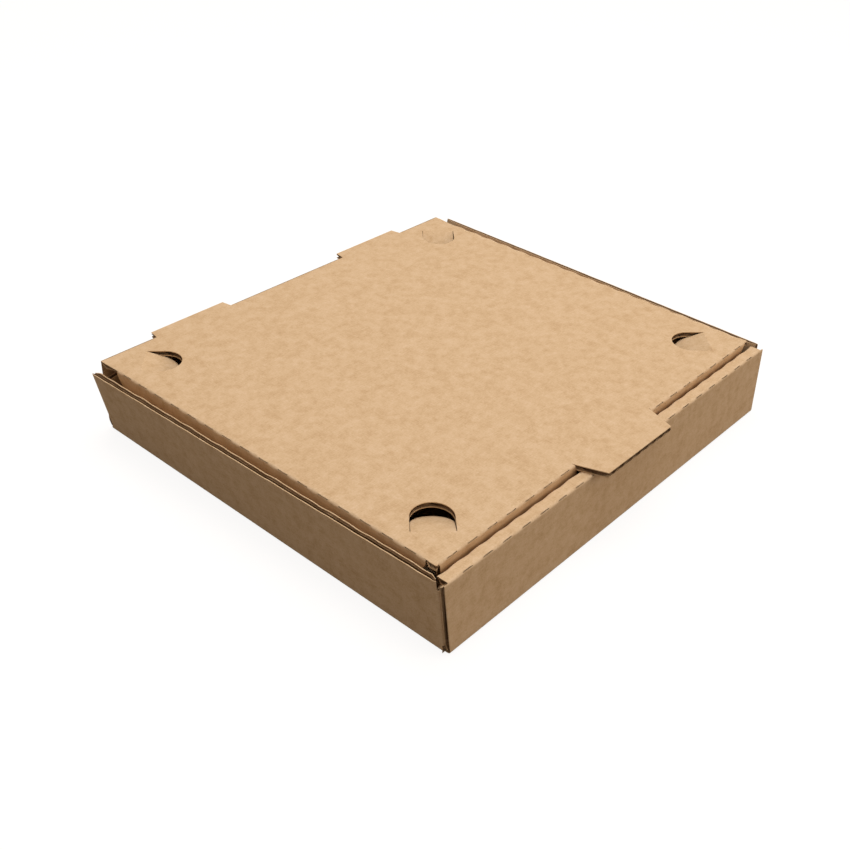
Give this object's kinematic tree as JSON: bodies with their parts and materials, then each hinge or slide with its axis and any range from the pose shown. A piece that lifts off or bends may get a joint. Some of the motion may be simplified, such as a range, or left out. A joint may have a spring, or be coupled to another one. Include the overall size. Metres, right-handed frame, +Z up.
{
  "type": "pizza box",
  "caption": "Closed brown corrugated pizza box with a roll-over front wall, a hinged tuck-in lid with a thumb tab, and round punched vent flaps at the lid's corners.",
  "frame": {"origin": "on the floor plane, under the middle of the closed box", "axes": "+Z up, the roll-over front wall faces -Y, the lid's hinge is at +Y"},
  "size_m": [0.2774, 0.253, 0.0425],
  "materials": {
    "kraft_board": "matt brown kraft liner with fine fibre flecks, plain cut edges that show the flutes"
  },
  "bodies": {
    "tray": {"tray": "kraft_board"},
    "lid": {"lid": "kraft_board"},
    "vent_flap_front_left": {"vent_flap_front_left": "kraft_board"},
    "vent_flap_front_right": {"vent_flap_front_right": "kraft_board"},
    "vent_flap_back_left": {"vent_flap_back_left": "kraft_board"},
    "vent_flap_back_right": {"vent_flap_back_right": "kraft_board"}
  },
  "joints": [
    {"name": "lid_hinge", "type": "hinge", "parent": "tray", "child": "lid", "pos_m": [0, 0.1202, 0.0425], "axis": [-1, 0, 0], "range_deg": [0, 180]},
    {"name": "vent_hinge_front_left", "type": "hinge", "parent": "lid", "child": "vent_flap_front_left", "pos_m": [-0.1122, -0.0964, 0.0425], "axis": [-0.7071, 0.7071, 0], "range_deg": [-20, 35]},
    {"name": "vent_hinge_front_right", "type": "hinge", "parent": "lid", "child": "vent_flap_front_right", "pos_m": [0.1122, -0.0964, 0.0425], "axis": [-0.7071, -0.7071, 0], "range_deg": [-20, 35]},
    {"name": "vent_hinge_back_left", "type": "hinge", "parent": "lid", "child": "vent_flap_back_left", "pos_m": [-0.1146, 0.1046, 0.0425], "axis": [0.7071, 0.7071, 0], "range_deg": [-20, 35]},
    {"name": "vent_hinge_back_right", "type": "hinge", "parent": "lid", "child": "vent_flap_back_right", "pos_m": [0.1146, 0.1046, 0.0425], "axis": [0.7071, -0.7071, 0], "range_deg": [-20, 35]}
  ]
}
